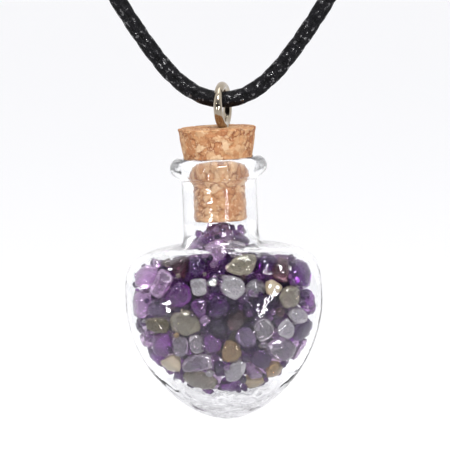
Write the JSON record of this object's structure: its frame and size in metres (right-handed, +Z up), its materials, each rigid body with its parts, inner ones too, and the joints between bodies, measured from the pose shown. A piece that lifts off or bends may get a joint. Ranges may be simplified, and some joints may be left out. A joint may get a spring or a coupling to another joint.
{
  "type": "bottle pendant",
  "caption": "Small heart-shaped glass bottle filled with amethyst chips, corked, hung by a screw eye from a closed black cord necklace.",
  "frame": {"origin": "middle of the clasp at the top of the loop, where the necklace rests on the nape of the neck", "axes": "+Z up, along the way the pendant hangs; +X to the right seen from the front; the front looks towards -Y"},
  "size_m": [0.126, 0.0114, 0.185],
  "materials": {
    "cord": "black waxed cotton cord, glossy",
    "clasp_metal": "bright plated steel",
    "eye_metal": "bright plated wire",
    "cork": "agglomerated cork, matt",
    "clear_glass": "clear blown glass, polished",
    "amethyst": "tumbled translucent stone, glossy"
  },
  "bodies": {
    "necklace": {"cord": "cord", "clasp": "clasp_metal"},
    "stopper": {"screw_eye": "eye_metal", "cork": "cork"},
    "vial": {"bottle": "clear_glass", "chips": "amethyst"}
  },
  "joints": [
    {"name": "pendant_swing", "type": "hinge", "parent": "necklace", "child": "stopper", "pos_m": [0, 0, -0.144], "axis": [1, 0, 0], "range_deg": [-90, 90]},
    {"name": "stopper_pull", "type": "slide", "parent": "stopper", "child": "vial", "axis": [0.0419, 0, -0.9991], "range_m": [0, 0.0085]}
  ]
}
